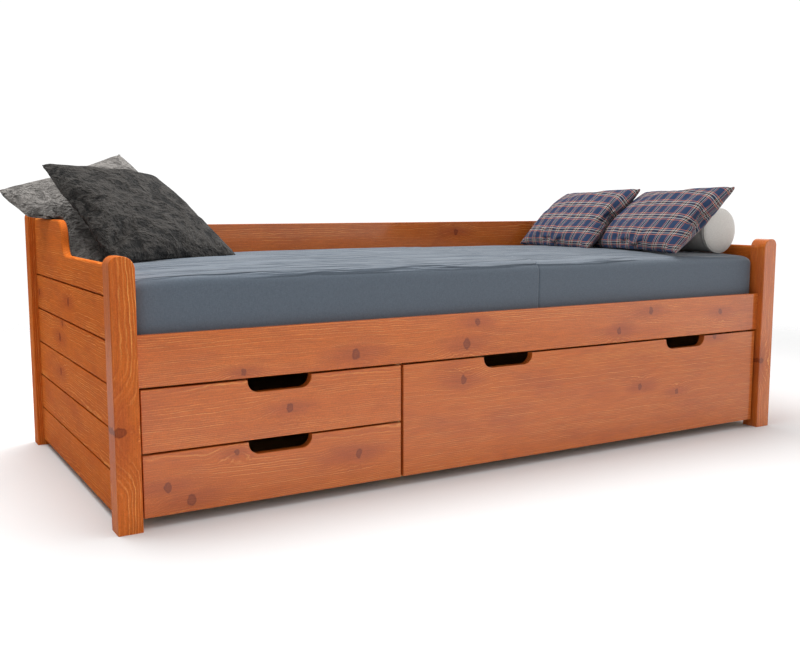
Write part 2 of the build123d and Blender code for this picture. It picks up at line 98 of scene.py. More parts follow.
# How the cushions lie, in degrees: direction that they lean to, slope from the floor, and turn
# in their plane. The plaid ones are moved from their CAD solids by the shifts, in m
PLAID_POSES = {"cushion_plaid_front": (-10, 43, 0), "cushion_plaid_rear": (-8.5, 44, 0)}
PLAID_SHIFTS = {"cushion_plaid_front": (-0.01, 0.006, -0.008), "cushion_plaid_rear": (0, 0, 0)}
PLAID_THICKNESS = 0.096
PLAID_SLUMP = 0.016
DARK_POSE = (109, 38, 0)
DARK_THICKNESS = 0.092
DARK_SLUMP = (-0.045, -0.012, -0.03)
LIGHT_POSE = (90, 38, 26.4)
LIGHT_THICKNESS = 0.07
LIGHT_MIDDLE = (-0.846, 0.288, 0.6885)

# The end's top board, which the light cushion hangs over: its middle, its top and its shoulder
END_BOARD_X = -1.012
END_BOARD_TOP = 0.672
SHOULDER_Y = (0.03, 0.11)

# How far the posts reach into the mattress's corners, with a little clearance
POST_NOTCH = 0.0175

# The room is brightest towards the front right, and the wall behind the left end is dim
WINDOW_DIRECTION = (1.0, -0.1, 0.1)
WINDOW_GLOW = 1.8
ROOM_SHADE = 0.3

# The floor fades out between these distances from its middle
FLOOR_FADE = (2.2, 4.0)
FLOOR_WHITE = 0.76


def linear(hex_code):
    """An sRGB hex colour as linear red, green, blue and alpha."""
    values = np.array([int(hex_code[i:i + 2], 16) for i in (1, 3, 5)]) / 255
    curve = np.where(values <= 0.04045, values / 12.92, ((values + 0.055) / 1.055) ** 2.4)
    return (*curve.tolist(), 1.0)


def fill_inputs(node, inputs):
    """Gives a node's inputs their numbers, colours, sockets, or nodes' first live outputs."""
    for key, value in inputs.items():
        if isinstance(value, bpy.types.Node):
            value = next(output for output in value.outputs if output.enabled)
        if isinstance(value, bpy.types.NodeSocket):
            node.id_data.links.new(value, node.inputs[key])
        else:
            node.inputs[key].default_value = value


def add(tree, kind, inputs=(), **settings):
    """Adds a node with its settings and inputs."""
    node = tree.nodes.new(kind)
    for name, value in settings.items():
        setattr(node, name, value)
    fill_inputs(node, dict(inputs))
    return node


def new_material(name):
    """A material with a Principled shader, and its node tree."""
    material = bpy.data.materials.new(name)
    material.use_nodes = True
    tree = material.node_tree
    tree.nodes.clear()
    shader = add(tree, "ShaderNodeBsdfPrincipled")
    add(tree, "ShaderNodeOutputMaterial", {"Surface": shader})
    return material, tree, shader


def set_ramp(ramp, stops, interpolation="LINEAR"):
    """Gives a Color Ramp node its stops: places and linear colours."""
    elements = ramp.color_ramp.elements
    ramp.color_ramp.interpolation = interpolation
    while len(elements) < len(stops):
        elements.new(1.0)
    for element, (place, colour) in zip(elements, stops):
        element.position = place
        element.color = colour


def grey(value):
    """A neutral linear colour."""
    return (value, value, value, 1.0)


# Wood
def knot_fields(tree, trunk, knots):
    """How far the grain bends round the knots, how dark their surround is and where they are.

    Each is a smooth step down over the distance from the knot, longer along the grain.
    """
    fields = {}
    for along, across, radius in knots:
        reach = radius * MM
        offset = add(tree, "ShaderNodeVectorMath", {0: trunk, 1: (along * MM, across * MM, 0)},
                     operation="SUBTRACT")
        for kind, stretch, start, end in (("bend", (0.4, 1, 0), 0.3, 4.5),
                                          ("cloud", (0.3, 1, 0), 0.5, 3.0),
                                          ("core", (1.2, 0.85, 0), 0.45, 1.1)):
            scaled = add(tree, "ShaderNodeVectorMath", {0: offset, 1: stretch},
                         operation="MULTIPLY")
            distance = add(tree, "ShaderNodeVectorMath", {0: scaled}, operation="LENGTH")
            field = add(tree, "ShaderNodeMapRange",
                        {"Value": distance.outputs["Value"], "From Min": start * reach,
                         "From Max": end * reach, "To Min": 1, "To Max": 0},
                        interpolation_type="SMOOTHSTEP")
            if kind == "bend":
                field = add(tree, "ShaderNodeMath", {0: field, 1: 1.6 * reach},
                            operation="MULTIPLY")
            if kind in fields:
                joined = "ADD" if kind == "bend" else "MAXIMUM"
                field = add(tree, "ShaderNodeMath", {0: fields[kind], 1: field}, operation=joined)
            fields[kind] = field
    return fields.get("bend"), fields.get("cloud"), fields.get("core")


def wander(tree, place, scale, reach):
    """A smooth random shift of up to about half of reach, in mm along, across and through."""
    slow = add(tree, "ShaderNodeMapping", {"Vector": place, "Scale": scale})
    noise = add(tree, "ShaderNodeTexNoise", {"Vector": slow, "Scale": 1, "Detail": 2.5,
                                             "Roughness": 0.45})
    centred = add(tree, "ShaderNodeVectorMath", {0: noise.outputs["Color"], 1: (0.5, 0.5, 0.5)},
                  operation="SUBTRACT")
    return add(tree, "ShaderNodeVectorMath", {0: centred, 1: tuple(value * MM for value in reach)},
               operation="MULTIPLY")


def grain_noise(tree, place, scale, low, high, detail=3):
    """Noise stretched by its scale per metre along, across and through the grain, as 0 to 1
    between two of its levels."""
    stretched = add(tree, "ShaderNodeMapping", {"Vector": place, "Scale": scale})
    noise = add(tree, "ShaderNodeTexNoise", {"Vector": stretched, "Scale": 1, "Detail": detail,
                                             "Roughness": 0.6})
    return add(tree, "ShaderNodeMapRange", {"Value": noise, "From Min": low, "From Max": high})


def blend_tone(tree, tint, tone, share, weight):
    """Mixes a tone into a tint by a share from 0 to 1 times a weight."""
    share = add(tree, "ShaderNodeMath", {0: share, 1: weight}, operation="MULTIPLY")
    return add(tree, "ShaderNodeMix", {0: share, 6: tint, 7: tone}, data_type="RGBA")


def pine(name, node, grain, knots, colours, finish):
    """Planed pine board: growth rings round a pith behind and beside the face, fibres and knots.

    The eye gets long, nearly parallel lines that bend round the knots, standing a little proud
    where the brush has worn the soft wood back. They are pale, partly in the late wood's own tone
    and partly as a painted highlight on the ridge, with a darker line of painted shade in the
    recess before each, and under a stain a cloudy red-brown where it soaks in. The finish is one
    of those above.
    """
    material, tree, shader = new_material(name)
    random = np.random.default_rng(sum(ord(letter) * (i + 1) for i, letter in enumerate(node)))
    low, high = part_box(node)
    _, across_axis, depth_axis = ("XYZ".index(axis) for axis in GRAIN_AXES[grain])
    across_middle = (low[across_axis] + high[across_axis]) / 2
    across_half = (high[across_axis] - low[across_axis]) / 2
    beside = max(across_half, 60 * MM) * random.uniform(0.6, 1.6) * random.choice((-1, 1))
    pith = (0, across_middle + beside, low[depth_axis] + random.uniform(30, 50) * MM)
    place = add(tree, "ShaderNodeSeparateXYZ",
                {0: add(tree, "ShaderNodeTexCoord").outputs["Object"]})
    along, across, depth = (place.outputs[axis] for axis in GRAIN_AXES[grain])
    trunk = add(tree, "ShaderNodeCombineXYZ", {0: along, 1: across, 2: depth})
    shift = tuple(random.uniform(-20, 20, 3).tolist())
    moved = add(tree, "ShaderNodeVectorMath", {0: trunk, 1: shift}, operation="ADD")

    # The trunk wanders slowly over some 600 mm, its fibres waver over some 40 mm, and the knots'
    # edges are ragged over some 10 mm
    from_pith = add(tree, "ShaderNodeVectorMath", {0: trunk, 1: pith}, operation="SUBTRACT")
    from_pith = add(tree, "ShaderNodeVectorMath", {0: from_pith, 1: (0, 1, 1)},
                    operation="MULTIPLY")
    for scale, reach in (((1.6, 7, 7), (0, 30, 30)), ((24, 34, 34), (0, 5, 5))):
        from_pith = add(tree, "ShaderNodeVectorMath",
                        {0: from_pith, 1: wander(tree, moved, scale, reach)}, operation="ADD")
    radius = add(tree, "ShaderNodeVectorMath", {0: from_pith}, operation="LENGTH").outputs["Value"]
    ragged = add(tree, "ShaderNodeVectorMath",
                 {0: trunk, 1: wander(tree, moved, (90, 90, 90), (12, 12, 0))}, operation="ADD")
    bend, cloud, core = knot_fields(tree, ragged, knots)
    if bend is not None:
        radius = add(tree, "ShaderNodeMath", {0: radius, 1: bend}, operation="ADD")

    # Rings a little wider than in the tree, so that they show at the photograph's scale
    rings = add(tree, "ShaderNodeMath", {0: radius, 1: 1 / (RING_PITCH * MM)},
                operation="MULTIPLY")
    phase = add(tree, "ShaderNodeMath", {0: rings}, operation="FRACT")
    black, white = grey(0.0), grey(1.0)
    # The pale line: partly the late wood's own tone, partly a painted highlight on its proud ridge
    line = add(tree, "ShaderNodeValToRGB", {0: phase})
    set_ramp(line, [(0.0, black), (0.58, black), (0.74, white), (0.86, white), (0.97, black)])
    # Painted shade: a darker line in the recess just before each pale ridge
    shaded_hollow = add(tree, "ShaderNodeValToRGB", {0: phase})
    set_ramp(shaded_hollow, [(0.0, black), (0.2, black), (0.5, white), (0.6, black)])
    year = add(tree, "ShaderNodeMath", {0: rings}, operation="FLOOR")
    year = add(tree, "ShaderNodeTexWhiteNoise", {"W": year}, noise_dimensions="1D")
    strength = add(tree, "ShaderNodeMapRange", {"Value": year.outputs["Value"], "To Min": 0.1,
                                                "To Max": 1.0})
    shaded_hollow = add(tree, "ShaderNodeMath", {0: shaded_hollow, 1: strength}, operation="MULTIPLY")
    zone = grain_noise(tree, moved, (4, 16, 16), 0.32, 0.58)
    broken = grain_noise(tree, moved, (22, 200, 200), 0.3, 0.52)
    for share in (strength, zone, broken):
        line = add(tree, "ShaderNodeMath", {0: line, 1: share}, operation="MULTIPLY")
    fibre = grain_noise(tree, moved, (22, 400, 400), 0.34, 0.66)
    soak = grain_noise(tree, moved, (5, 13, 13), 0.46, 0.72, 4)
    speck = grain_noise(tree, moved, (330, 420, 420), 0.3, 0.7, 1)

    base_tone, pale_and_highlight_tone, soak_and_shade_tone, knot_tone = colours
    # The stain's soak is real; the pale line adds a painted highlight and the recess painted shade
    layers = [(soak_and_shade_tone, soak, 0.5), (soak_and_shade_tone, shaded_hollow, 0.45), (pale_and_highlight_tone, line, 0.95)]
    if core is not None:
        outside = add(tree, "ShaderNodeMath", {0: 1, 1: core}, operation="SUBTRACT")
        rim = add(tree, "ShaderNodeMath", {0: core, 1: outside}, operation="MULTIPLY")
        layers += [(soak_and_shade_tone, cloud, 0.6), (knot_tone, core, 0.6), (knot_tone, rim, 2.4)]
    tint = base_tone
    for tone, share, weight in layers:
        tint = blend_tone(tree, tint, tone, share, weight)
    grit = add(tree, "ShaderNodeMath", {0: fibre, 1: speck}, operation="ADD")
    value = add(tree, "ShaderNodeMapRange", {"Value": grit, "From Max": 2,
                                             "To Min": 0.78, "To Max": 1.22})
    tint = add(tree, "ShaderNodeHueSaturation", {"Value": value, "Color": tint})
    height = add(tree, "ShaderNodeMath", {0: grit, 1: 0.3, 2: line}, operation="MULTIPLY_ADD")
    bump = add(tree, "ShaderNodeBump", {"Strength": 0.5, "Distance": 0.6 * MM, "Height": height})
    fill_inputs(shader, {"Base Color": tint, "Normal": bump, **dict(zip(FINISH_INPUTS, finish))})
    return material


def zinc(name):
    """Zinc-plated steel: a pale bluish metal with faint cloudy spangle and a soft shine."""
    material, tree, shader = new_material(name)
    place = add(tree, "ShaderNodeTexCoord").outputs["Object"]
    spangle = add(tree, "ShaderNodeTexNoise", {"Vector": place, "Scale": 400, "Detail": 2})
    tint = add(tree, "ShaderNodeMix", {0: spangle, 6: linear("#A9ADB0"), 7: linear("#C6C9CB")},
               data_type="RGBA")
    rough = add(tree, "ShaderNodeMapRange", {"Value": spangle, "To Min": 0.28, "To Max": 0.45})
    fill_inputs(shader, {"Base Color": tint, "Roughness": rough, "Metallic": 1.0})
    return material


def woven(name, light, dark, thread, sheen, bump_share, creased_above=None):
    """Plain-woven cotton or tape: crossing threads, tone differing from thread to thread.

    The eye gets a fine mottled grain and a soft light edge where the fibres stand up. The
    threads are drawn a few times coarser than real ones, because those are too fine to show.
    Above a height, creases run along the piece where the cloth is slack, and painted shade darkens
    them.
    """
    material, tree, shader = new_material(name)
    place = add(tree, "ShaderNodeTexCoord").outputs["Object"]
    crossing = []
    for scale in ((1, 4, 4), (4, 1, 1)):
        lengths = tuple(value / (4 * thread * MM) for value in scale)
        line = add(tree, "ShaderNodeMapping", {"Vector": place, "Scale": lengths})
        crossing.append(add(tree, "ShaderNodeTexNoise", {"Vector": line, "Scale": 1, "Detail": 2,
                                                         "Roughness": 0.7}))
    weave = add(tree, "ShaderNodeMath", {0: crossing[0], 1: crossing[1]}, operation="ADD")
    weave = add(tree, "ShaderNodeMapRange", {"Value": weave, "From Min": 0.7, "From Max": 1.3})
    tint = add(tree, "ShaderNodeMix", {0: weave, 6: dark, 7: light}, data_type="RGBA")
    bump = add(tree, "ShaderNodeBump", {"Strength": bump_share, "Distance": 0.4 * MM,
                                        "Height": weave})
    if creased_above is not None:
        fold = add(tree, "ShaderNodeMapping", {"Vector": place, "Scale": (2.2, 26, 26)})
        fold = add(tree, "ShaderNodeTexNoise", {"Vector": fold, "Scale": 1, "Detail": 3})
        fold = add(tree, "ShaderNodeMath", {0: fold, 1: 0.5}, operation="SUBTRACT")
        fold = add(tree, "ShaderNodeMath", {0: fold}, operation="ABSOLUTE")
        fold = add(tree, "ShaderNodeMapRange", {"Value": fold, "From Max": 0.12, "To Min": 1,
                                                "To Max": 0}, interpolation_type="SMOOTHSTEP")
        upright = add(tree, "ShaderNodeSeparateXYZ", {0: place}).outputs["Z"]
        on_top = add(tree, "ShaderNodeMapRange",
                     {"Value": upright, "From Min": creased_above - 12 * MM,
                      "From Max": creased_above})
        fold = add(tree, "ShaderNodeMath", {0: fold, 1: on_top}, operation="MULTIPLY")
        # Painted shade: the creases are darkened towards the dark thread tone
        tint = blend_tone(tree, tint, dark, fold, 0.3)
        bump = add(tree, "ShaderNodeBump", {"Strength": 1.0, "Distance": 8 * MM, "Height": fold,
                                            "Normal": bump})
    fill_inputs(shader, {"Base Color": tint, "Normal": bump, "Roughness": 0.9,
                         "Sheen Weight": sheen, "Sheen Roughness": 0.5})
    return material


def crushed_velvet(name, shade, crest_highlight, sheen):
    """Crushed velvet: nap pressed flat in crumples, coloured from painted shade in the creases to a
    painted highlight along the ridges.

    The ridges lie where a bent noise crosses its middle level, which it does along thin lines.
    """
    material, tree, shader = new_material(name)
    place = add(tree, "ShaderNodeTexCoord").outputs["Object"]
    warp = add(tree, "ShaderNodeTexNoise", {"Vector": place, "Scale": 9, "Detail": 2})
    warp = add(tree, "ShaderNodeVectorMath", {0: warp.outputs["Color"], 1: (0.06, 0.06, 0.06)},
               operation="MULTIPLY")
    bent = add(tree, "ShaderNodeVectorMath", {0: place, 1: warp}, operation="ADD")
    crumple = None
    for scale, weight in ((15, 1.0), (34, 0.6), (85, 0.3)):
        level = add(tree, "ShaderNodeTexNoise", {"Vector": bent, "Scale": scale, "Detail": 3,
                                                 "Roughness": 0.6})
        level = add(tree, "ShaderNodeMath", {0: level, 1: 0.5}, operation="SUBTRACT")
        level = add(tree, "ShaderNodeMath", {0: level}, operation="ABSOLUTE")
        crest_line = add(tree, "ShaderNodeMapRange", {"Value": level, "From Max": 0.11,
                                                      "To Min": weight, "To Max": 0},
                         interpolation_type="SMOOTHSTEP")
        crumple = crest_line if crumple is None else add(
            tree, "ShaderNodeMath", {0: crumple, 1: crest_line}, operation="ADD")
    nap = add(tree, "ShaderNodeTexNoise", {"Vector": place, "Scale": 600, "Detail": 1})
    # Painted highlight: the ridges are mixed towards the pale tone, broken by the fine nap noise;
    # the rest keeps the darker tone, the velvet's own colour darkened as painted shade
    pale = add(tree, "ShaderNodeMath", {0: crumple, 1: nap}, operation="MULTIPLY")
    pale = add(tree, "ShaderNodeMapRange", {"Value": pale, "From Max": 0.75})
    tint = add(tree, "ShaderNodeMix", {0: pale, 6: shade, 7: crest_highlight}, data_type="RGBA")
    bump = add(tree, "ShaderNodeBump", {"Strength": 1.0, "Distance": 5 * MM, "Height": crumple})
    fill_inputs(shader, {"Base Color": tint, "Normal": bump, "Roughness": 0.75,
                         "Sheen Weight": sheen, "Sheen Roughness": 0.35})
    return material


def plaid(name, ground, line_tones):
    """Yarn-dyed plaid: the same stripes in warp and weft, mixed half and half where they cross.

    The sewn map holds each point's place on the flat cover, in metres. A band is a peach, a
    white, a dark, a white and a peach stripe with the ground between.
    """
    material, tree, shader = new_material(name)
    sewn = add(tree, "ShaderNodeUVMap", uv_map="sewn")
    parts = add(tree, "ShaderNodeSeparateXYZ", {0: sewn})
    peach, pale, deep = line_tones
    stripes = []
    for axis in (0, 1):
        repeat = add(tree, "ShaderNodeMath", {0: parts.outputs[axis], 1: 1 / (PLAID_REPEAT * MM)},
                     operation="MULTIPLY")
        repeat = add(tree, "ShaderNodeMath", {0: repeat}, operation="FRACT")
        ramp = add(tree, "ShaderNodeValToRGB", {0: repeat})
        set_ramp(ramp, [(0.0, ground), (0.27, peach), (0.31, ground), (0.39, pale),
                        (0.43, deep), (0.57, pale), (0.61, ground), (0.69, peach),
                        (0.73, ground)], "CONSTANT")
        stripes.append(ramp)
    tint = add(tree, "ShaderNodeMix", {0: 0.5, 6: stripes[0], 7: stripes[1]}, data_type="RGBA")
    thread = add(tree, "ShaderNodeMapping", {"Vector": sewn, "Scale": (700, 700, 700)})
    thread = add(tree, "ShaderNodeTexNoise", {"Vector": thread, "Scale": 1, "Detail": 1})
    bump = add(tree, "ShaderNodeBump", {"Strength": 0.3, "Distance": 0.5 * MM, "Height": thread})
    fill_inputs(shader, {"Base Color": tint, "Normal": bump, "Roughness": 0.92,
                         "Sheen Weight": 0.02})
    return material


# Meshes
def make_mesh(name, points, *faces, sewn=None):
    """A smooth-shaded object from an array of points and one or more arrays of faces."""
    mesh = bpy.data.meshes.new(name)
    mesh.from_pydata(points.tolist(), [], [corners for part in faces for corners in part.tolist()])
    mesh.polygons.foreach_set("use_smooth", np.ones(len(mesh.polygons), bool))
    if sewn is not None:
        corners = np.zeros(len(mesh.loops), int)
        mesh.loops.foreach_get("vertex_index", corners)
        layer = mesh.uv_layers.new(name="sewn")
        layer.data.foreach_set("uv", sewn[corners].astype(np.float32).ravel())
    mesh.update()
    thing = bpy.data.objects.new(name, mesh)
    bpy.context.scene.collection.objects.link(thing)
    return thing


def read_points(thing):
    """An object's points as an array."""
    points = np.zeros(len(thing.data.vertices) * 3, np.float32)
    thing.data.vertices.foreach_get("co", points)
    return points.reshape(-1, 3).astype(float)


def write_points(thing, points):
    """Puts an array of points back into an object's mesh."""
    thing.data.vertices.foreach_set("co", points.astype(np.float32).ravel())
    thing.data.update()


def finish_piece(thing, material, body, replaced):
    """Gives a soft piece its material, hides the CAD part that it replaces and hangs it on the body
    that it rides on.
    """
    thing.data.materials.append(material)
    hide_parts(replaced)
    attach(thing, body)


def cover_grid(steps):
    """A closed cover of two grids that share their rim: flat places and four-cornered faces."""
    side = np.sin(np.linspace(-1, 1, steps + 1) * np.pi / 2 * 0.92) / np.sin(np.pi / 2 * 0.92)
    u, v = np.meshgrid(side, side, indexing="ij")
    count = (steps + 1) ** 2
    top = np.arange(count).reshape(steps + 1, steps + 1)
    bottom = top.copy()
    bottom[1:-1, 1:-1] = count + np.arange((steps - 1) ** 2).reshape(steps - 1, steps - 1)
    faces = [np.stack([top[:-1, :-1], top[1:, :-1], top[1:, 1:], top[:-1, 1:]], -1),
             np.stack([bottom[:-1, :-1], bottom[:-1, 1:], bottom[1:, 1:], bottom[1:, :-1]], -1)]
    quads = np.concatenate([face.reshape(-1, 4) for face in faces])
    flat_u = np.concatenate([u.ravel(), u[1:-1, 1:-1].ravel()])
    flat_v = np.concatenate([v.ravel(), v[1:-1, 1:-1].ravel()])
    face = np.concatenate([np.ones(count), -np.ones((steps - 1) ** 2)])
    return flat_u, flat_v, face, quads


def straightened(points, u, v, steps, half, shares):
    """Moves the drawn-in sides of a cover back out, each by its share, and what lies between them
    by the square of its nearness. half is the cover's half size, and the shares are for its right
    and left, then for its top and bottom."""
    rim = points[:(steps + 1) ** 2].reshape(steps + 1, steps + 1, 3)
    for axis, (along, across) in enumerate(((u, v), (v, u))):
        grid = np.unique(across)
        ends = (rim[-1, :, 0], rim[0, :, 0]) if axis == 0 else (rim[:, -1, 1], rim[:, 0, 1])
        for side, end, share in zip((1, -1), ends, shares[axis]):
            drawn = np.interp(across, grid, end) - side * half[axis]
            points[:, axis] -= share * drawn * np.clip(side * along, 0, 1) ** 2
    return points


def creases(place, longest, count, seed):
    """Crumples from 0 to 1: ridges (1 - |sin|) squared of waves in random directions, each wave
    shorter and lower than the last, bent by a slow sine and fading in and out along another."""
    random = np.random.default_rng(seed)
    height = np.zeros(len(place))
    for index in range(count):
        length = longest * 0.87 ** index
        angle = random.uniform(0, np.pi)
        across = place @ np.array([np.cos(angle), np.sin(angle)]) * 2 * np.pi / length
        along = place @ np.array([-np.sin(angle), np.cos(angle)]) * 2 * np.pi / length
        bent = across + 1.6 * np.sin(along / 2.7 + random.uniform(0, 6)) + random.uniform(0, 6)
        patch = 0.5 + 0.5 * np.sin(along / 3.1 + across / 4.3 + random.uniform(0, 6))
        height += length * patch * (1 - np.abs(np.sin(bent / 2))) ** 2
    return height / height.max()


def cushion(name, size, draw, steps, crumple, shares, seed):
    """A filled cover: half thickness times (1 - u^2)^0.6 (1 - v^2)^0.6, its sides drawn in by
    the parabola draw (1 - v^2) between the corners. The cloth solver fills it, it is fitted to
    its width, height and thickness, its sides are straightened by their shares, its corners are
    rounded, and crumples are pressed into it. crumple is the longest one's length and depth."""
    width, height, thickness = size
    u, v, face, quads = cover_grid(steps)
    crown = ((1 - u ** 2) * (1 - v ** 2)) ** 0.6
    # The solver draws the sides in and fills the cover, so it is given a wider and flatter one
    pull = -1.1 * draw
    slack = 0.35
    x = u * (width / 2 - pull * (1 - v ** 2))
    y = v * (height / 2 - pull * (1 - u ** 2))
    z = face * thickness / 2 * slack * crown
    sewn = np.stack([u * width / 2, v * height / 2], -1)
    thing = make_mesh(name, np.stack([x, y, z], -1), quads, sewn=sewn)
    fill_with_air(thing)
    points = read_points(thing)
    low, high = points.min(0), points.max(0)
    corners = np.abs(points[(np.abs(u) == 1) & (np.abs(v) == 1)]).mean(0) * 2
    span = np.array([corners[0], corners[1], high[2] - low[2]])
    points = (points - (low + high) / 2) * np.array([width, height, thickness]) / span
    points = straightened(points, u, v, steps, (width / 2, height / 2), shares)
    points[:, :2] *= 1 - 0.03 * ((u * v) ** 24)[:, None]
    longest, depth = crumple
    points[:, 2] -= face * depth * crown * creases(sewn, longest, 16, seed)
    write_points(thing, points)
    smooth = thing.modifiers.new("smooth", "SUBSURF")
    smooth.levels = smooth.render_levels = 1
    return thing, u, v


def fill_with_air(thing):
    """Blows the flat cover up with the cloth solver, which draws its sides in and folds its rim."""
    scene = bpy.context.scene
    bpy.context.view_layer.objects.active = thing
    cloth = thing.modifiers.new("filling", "CLOTH")
    for key, value in {"quality": 5, "mass": 0.25, "tension_stiffness": 40,
                       "compression_stiffness": 40, "shear_stiffness": 15,
                       "bending_stiffness": 0.3, "air_damping": 2, "use_pressure": True,
                       "uniform_pressure_force": 4}.items():
        setattr(cloth.settings, key, value)
    cloth.settings.effector_weights.gravity = 0
    cloth.collision_settings.use_collision = False
    cloth.point_cache.frame_start = 1
    cloth.point_cache.frame_end = 20
    for step in range(1, 21):
        scene.frame_set(step)
    graph = bpy.context.evaluated_depsgraph_get()
    filled = thing.evaluated_get(graph)
    points = np.zeros(len(thing.data.vertices) * 3, np.float32)
    filled.data.vertices.foreach_get("co", points)
    thing.modifiers.remove(cloth)
    scene.frame_set(1)
    write_points(thing, points.reshape(-1, 3))


def turned(points, pose):
    """Points of a flat cushion turned in their plane, leant back and turned to their heading."""
    heading, tilt, turn = np.radians(pose)
    heading -= np.pi / 2
    flat = np.array([[np.cos(turn), -np.sin(turn), 0], [np.sin(turn), np.cos(turn), 0],
                     [0, 0, 1]])
    lean = np.array([[1, 0, 0], [0, np.cos(tilt), -np.sin(tilt)], [0, np.sin(tilt), np.cos(tilt)]])
    face = np.array([[np.cos(heading), -np.sin(heading), 0],
                     [np.sin(heading), np.cos(heading), 0], [0, 0, 1]])
    return points @ (face @ lean @ flat).T


def put_at(points, node):
    """Moves points so that the middle of their box is the middle of a CAD node's box."""
    low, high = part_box(node)
    middle = np.array(low + high) / 2
    return points - (points.min(0) + points.max(0)) / 2 + middle


def pulled(points, spot, move, reach):
    """Points moved near a spot, by a bell curve of their distance from it."""
    distance = np.linalg.norm(points - np.array(spot), axis=1)
    return points + np.exp(-(distance / reach) ** 2)[:, None] * np.array(move)


def furrow(points, start, end, width, depth):
    """A furrow pressed into the upper face of a flat cushion along a straight line."""
    start, end = np.array(start), np.array(end)
    span = end - start
    share = np.clip((points[:, :2] - start) @ span / (span @ span), 0, 1)
    distance = np.linalg.norm(points[:, :2] - start - share[:, None] * span, axis=1)
    fade = np.sin(np.clip(share * 0.9 + 0.1, 0, 1) * np.pi) ** 0.5
    points[:, 2] -= depth * fade * np.exp(-(distance / width) ** 2) * (points[:, 2] > 0)
    return points


def draped(points, u, v, middle, pose, side, thickness):
    """Lifts each column of a cushion to where it rests: on the mattress, and over the end's top
    board, whose rest falls off as a parabola to both sides. Both faces of a column move alike."""
    flat = np.stack([u * side / 2, v * side / 2, 0 * u], -1)
    core = turned(flat, pose) + np.array(middle)
    beside = np.maximum(np.abs(core[:, 0] - END_BOARD_X) - 0.014, 0)
    over_board = END_BOARD_TOP - 60 * beside ** 2
    low_y, high_y = SHOULDER_Y
    over_board -= 0.09 * (1 - np.clip((core[:, 1] - low_y) / (high_y - low_y), 0, 1))
    rest = np.maximum(mattress_top(core[:, 0], core[:, 1]), over_board)
    half = thickness / 2 * ((1 - u ** 2) * (1 - v ** 2)) ** 0.6
    need = rest + half * 0.8 + 1 * MM - core[:, 2]
    points[:, 2] += (need + np.sqrt(need ** 2 + (5 * MM) ** 2)) / 2
    return points


def kept_behind(points, front_points, pose, gap):
    """Points pushed back under another cushion's plane-like lower face where they would cross it.

    The lower face is read as a height over the other cushion's own plane, in 20 mm cells.
    """
    plane = turned(np.eye(3), pose)
    back = front_points @ plane.T
    own = points @ plane.T
    cell = 20 * MM
    low = back.min(0)
    size = np.ceil((back.max(0) - low) / cell).astype(int) + 1
    lowest = np.full((size[0], size[1]), np.inf)
    place = ((back - low) / cell).astype(int)
    np.minimum.at(lowest, (place[:, 0], place[:, 1]), back[:, 2])
    spot = ((own - low) / cell).astype(int)
    inside = ((spot[:, :2] >= 0) & (spot[:, :2] < size[:2])).all(1)
    spot = np.clip(spot[:, :2], 0, size[:2] - 1)
    limit = np.where(inside, lowest[spot[:, 0], spot[:, 1]], np.inf) - gap
    own[:, 2] = np.minimum(own[:, 2], limit)
    return own @ plane


def mattress_top(x, y):
    """The height of the mattress's crowned top, from its box."""
    low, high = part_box("mattress")
    rise = 12 * MM
    u = np.clip(np.abs(x) / high.x, 0, 1)
    v = np.clip(np.abs(y) / high.y, 0, 1)
    return high.z - rise * np.maximum(u ** 2, v ** 2)


def kept_above_mattress(points):
    """Points pressed flat where they would sink into the mattress."""
    floor = mattress_top(points[:, 0], points[:, 1]) + 1 * MM
    points[:, 2] = np.maximum(points[:, 2], floor)
    return points


def box_lattice(steps_x, steps_y, steps_z):
    """The surface of a box of small cells: its points from -1 to 1 and its faces.

    The six sides are grids over two of the three axes, and equal points are merged.
    """
    axes = [steps_x, steps_y, steps_z]
    points, quads, count = [], [], 0
    for fixed in range(3):
        a, b = [axis for axis in range(3) if axis != fixed]
        for side in (-1, 1):
            grid_a, grid_b = np.meshgrid(axes[a], axes[b], indexing="ij")
            sheet = np.zeros(grid_a.shape + (3,))
            sheet[..., a], sheet[..., b], sheet[..., fixed] = grid_a, grid_b, side
            index = count + np.arange(grid_a.size).reshape(grid_a.shape)
            face = [index[:-1, :-1], index[1:, :-1], index[1:, 1:], index[:-1, 1:]]
            if (side > 0) == (fixed == 1):
                face.reverse()
            points.append(sheet.reshape(-1, 3))
            quads.append(np.stack(face, -1).reshape(-1, 4))
            count += grid_a.size
    merged, where = np.unique(np.concatenate(points).round(9), axis=0, return_inverse=True)
    return merged, where.reshape(-1)[np.concatenate(quads)]


